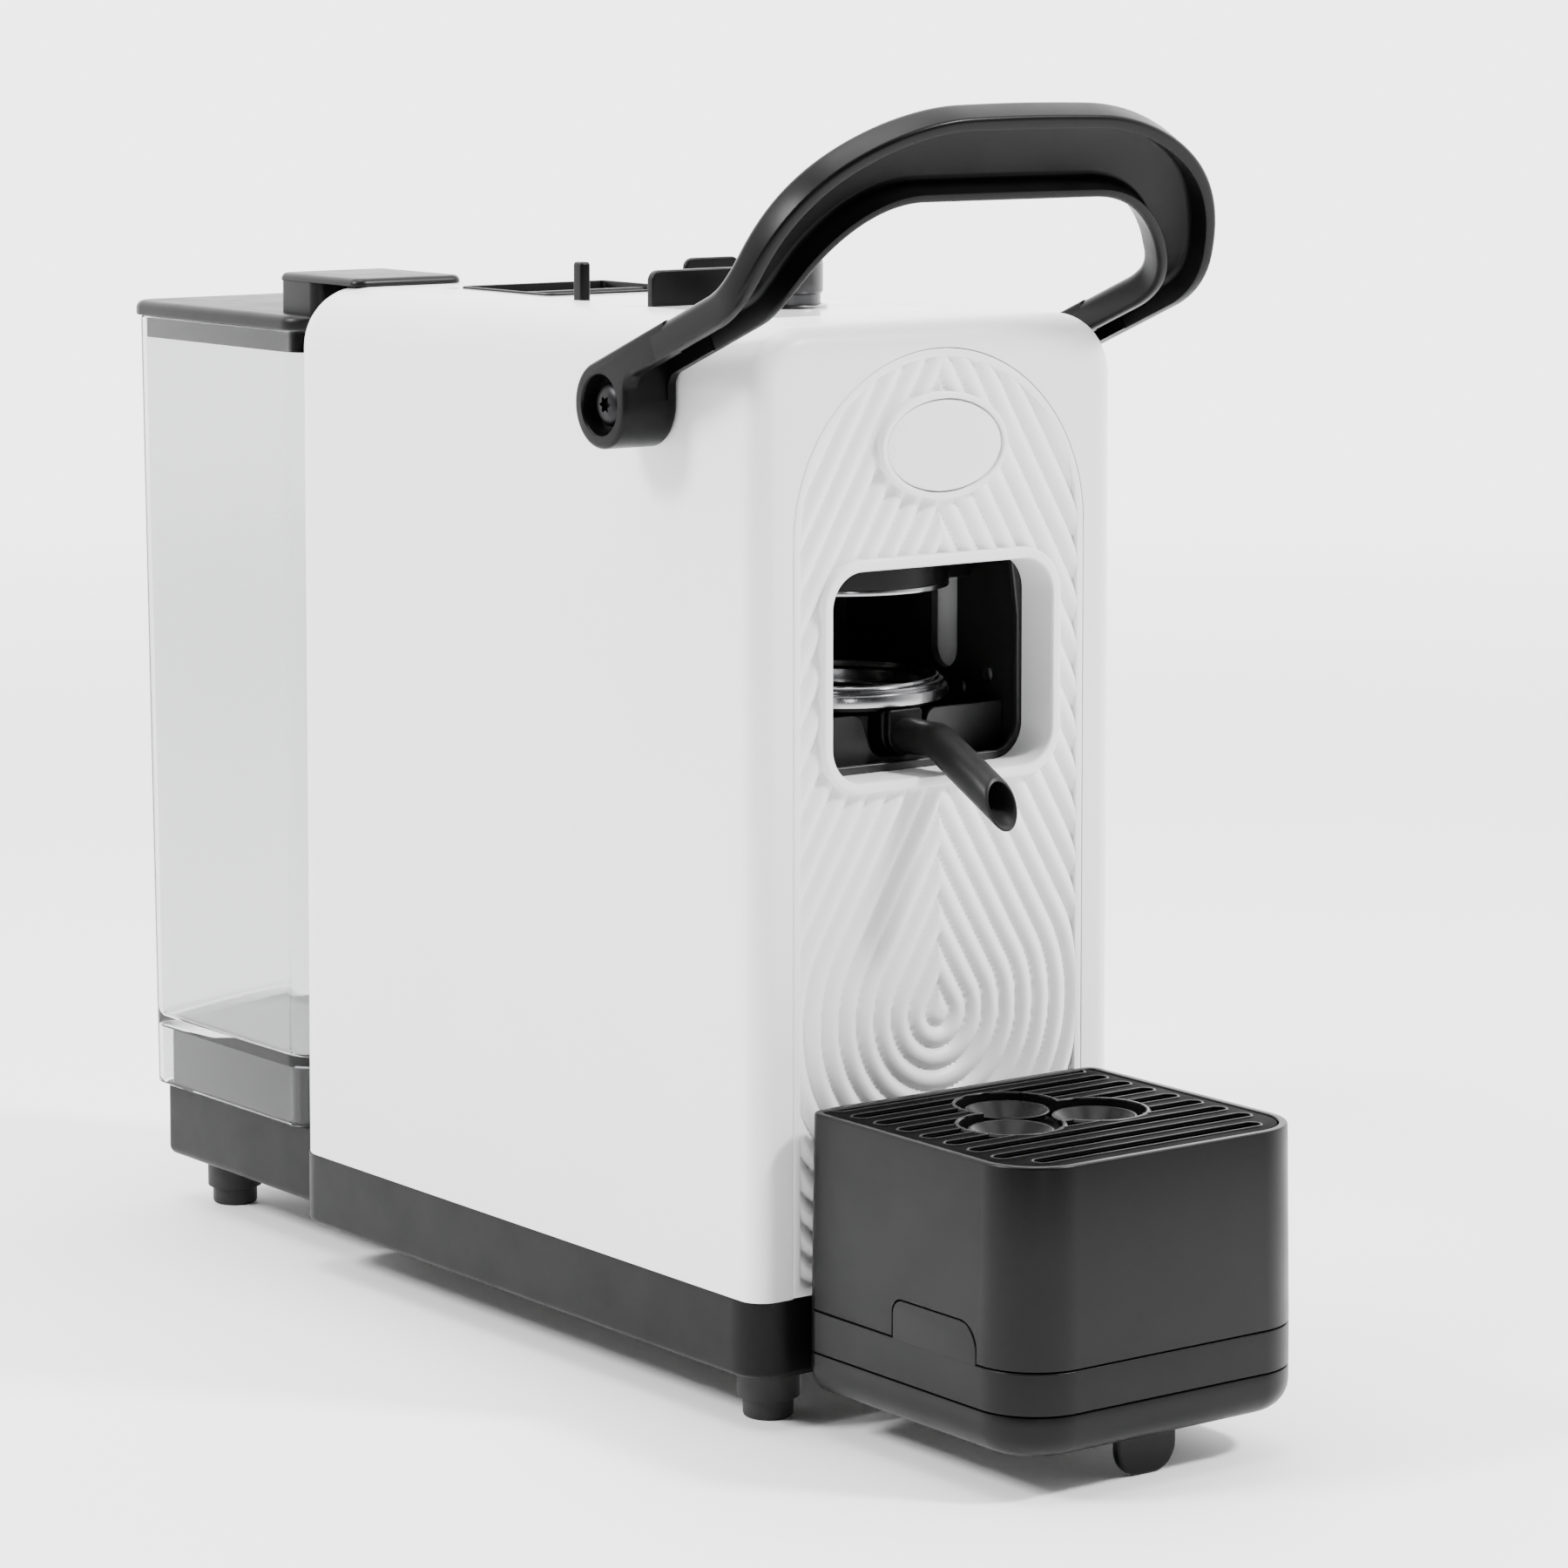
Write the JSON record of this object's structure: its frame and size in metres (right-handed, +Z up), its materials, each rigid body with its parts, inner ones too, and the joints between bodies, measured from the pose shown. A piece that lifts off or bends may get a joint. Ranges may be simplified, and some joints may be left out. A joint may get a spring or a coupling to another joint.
{
  "type": "pod coffee machine",
  "caption": "Slim free-standing coffee machine for paper pods with a loop lift lever, a brewing window, a clear rear water tank and a detachable drip tower.",
  "frame": {"origin": "middle of the machine's footprint, on the table", "axes": "+Z up, +Y from the drip tower towards the water tank, +X to the right of a person facing the front"},
  "size_m": [0.161, 0.4424, 0.356],
  "materials": {
    "white_shell": "satin white",
    "white_panel": "satin white with a fine moulded relief",
    "white_gloss": "glossy white",
    "black_base": "fine satin black",
    "black_satin": "satin black",
    "bracket_black": "matte black paint",
    "tower_black": "fine-grained dark black",
    "lever_black": "satin dark grey",
    "lid_grey": "satin dark grey",
    "button_satin": "satin grey",
    "chrome_trim": "polished",
    "sheet_steel": "rolled sheet",
    "screen_steel": "fine brushed",
    "screw_steel": "dark plated",
    "foot_rubber": "matte",
    "seal_silicone": "smooth",
    "hose_silicone": "smooth translucent white",
    "bush_plastic": "natural",
    "pump_plastic": "natural",
    "cast_alloy": "cast",
    "board_green": "lacquered",
    "clear_tank": "clear grey-tinted plastic"
  },
  "bodies": {
    "machine_frame": {"casing_shell": "white_shell", "front_panel": "white_panel", "oval_badge": "white_panel", "window_bezel": "white_panel", "base_plinth": "black_base", "deck_plate": "sheet_steel", "frame_screws": "screw_steel", "tank_base": "black_base", "feet": "foot_rubber", "mains_inlet": "black_base", "top_insert": "white_gloss", "top_tray": "black_satin", "rack_front_plate": "black_satin", "rack_rear_plate": "black_satin", "rack_fin": "black_satin", "button_collar": "chrome_trim", "button_switch": "black_satin", "group_side_plates": "bracket_black", "chamber_frame": "bracket_black", "group_shelf": "bracket_black", "group_back_plate": "bracket_black", "shaft_bushes": "bush_plastic", "pod_holder": "black_satin", "holder_ring": "chrome_trim", "holder_filter": "screen_steel", "spout": "black_satin", "boiler_body": "cast_alloy", "boiler_cover": "cast_alloy", "boiler_stand": "sheet_steel", "thermostats": "bush_plastic", "pump_body": "pump_plastic", "pump_coil": "sheet_steel", "pump_mounts": "foot_rubber", "control_board": "board_green", "pressure_hose": "hose_silicone", "brew_hose": "hose_silicone", "suction_hose": "hose_silicone", "valve_socket": "black_satin"},
    "lever": {"lever_handle": "lever_black", "pivot_shaft": "screen_steel", "pivot_screws": "screw_steel", "crank_arms": "sheet_steel", "crank_pin": "screen_steel"},
    "piston": {"piston_head": "black_satin", "piston_ring": "chrome_trim", "piston_seal": "seal_silicone", "shower_screen": "screen_steel", "guide_pin": "screen_steel", "guide_bushes": "bush_plastic", "yoke_plates": "sheet_steel"},
    "button": {"brew_button": "button_satin"},
    "tank": {"water_tank": "clear_tank", "tank_valve": "bush_plastic", "tank_filter": "bush_plastic"},
    "lid": {"tank_lid": "lid_grey", "lid_bridge": "lid_grey"},
    "tower": {"tower_band": "tower_black", "tower_foot_cap": "tower_black"},
    "container": {"drip_container": "tower_black"},
    "grid": {"drip_grid": "tower_black"}
  },
  "joints": [
    {"name": "lever_hinge", "type": "hinge", "parent": "machine_frame", "child": "lever", "pos_m": [0, -0.07655, 0.2758], "axis": [1, 0, 0], "range_deg": [0, 50]},
    {"name": "piston_slide", "type": "slide", "parent": "machine_frame", "child": "piston", "axis": [0, 0, -1], "range_m": [0, 0.0241]},
    {"name": "button_press", "type": "slide", "parent": "machine_frame", "child": "button", "axis": [0, 0, -1], "range_m": [0, 0.003], "stiffness_N_per_m": 300, "springref_m": -0.001},
    {"name": "tank_lift", "type": "slide", "parent": "machine_frame", "child": "tank", "axis": [0, 0, 1], "range_m": [0, 0.08]},
    {"name": "lid_lift", "type": "slide", "parent": "tank", "child": "lid", "axis": [0, 0, 1], "range_m": [0, 0.05]},
    {"name": "tower_pull", "type": "slide", "parent": "machine_frame", "child": "tower", "axis": [0, -1, 0], "range_m": [0, 0.06]},
    {"name": "container_lift", "type": "slide", "parent": "tower", "child": "container", "axis": [0, 0, 1], "range_m": [0, 0.035]},
    {"name": "grid_lift", "type": "slide", "parent": "container", "child": "grid", "axis": [0, 0, 1], "range_m": [0, 0.03]}
  ],
  "couplings": [
    {"joint": "piston_slide", "follows": "lever_hinge", "m_per_rad": 0.0275}
  ]
}
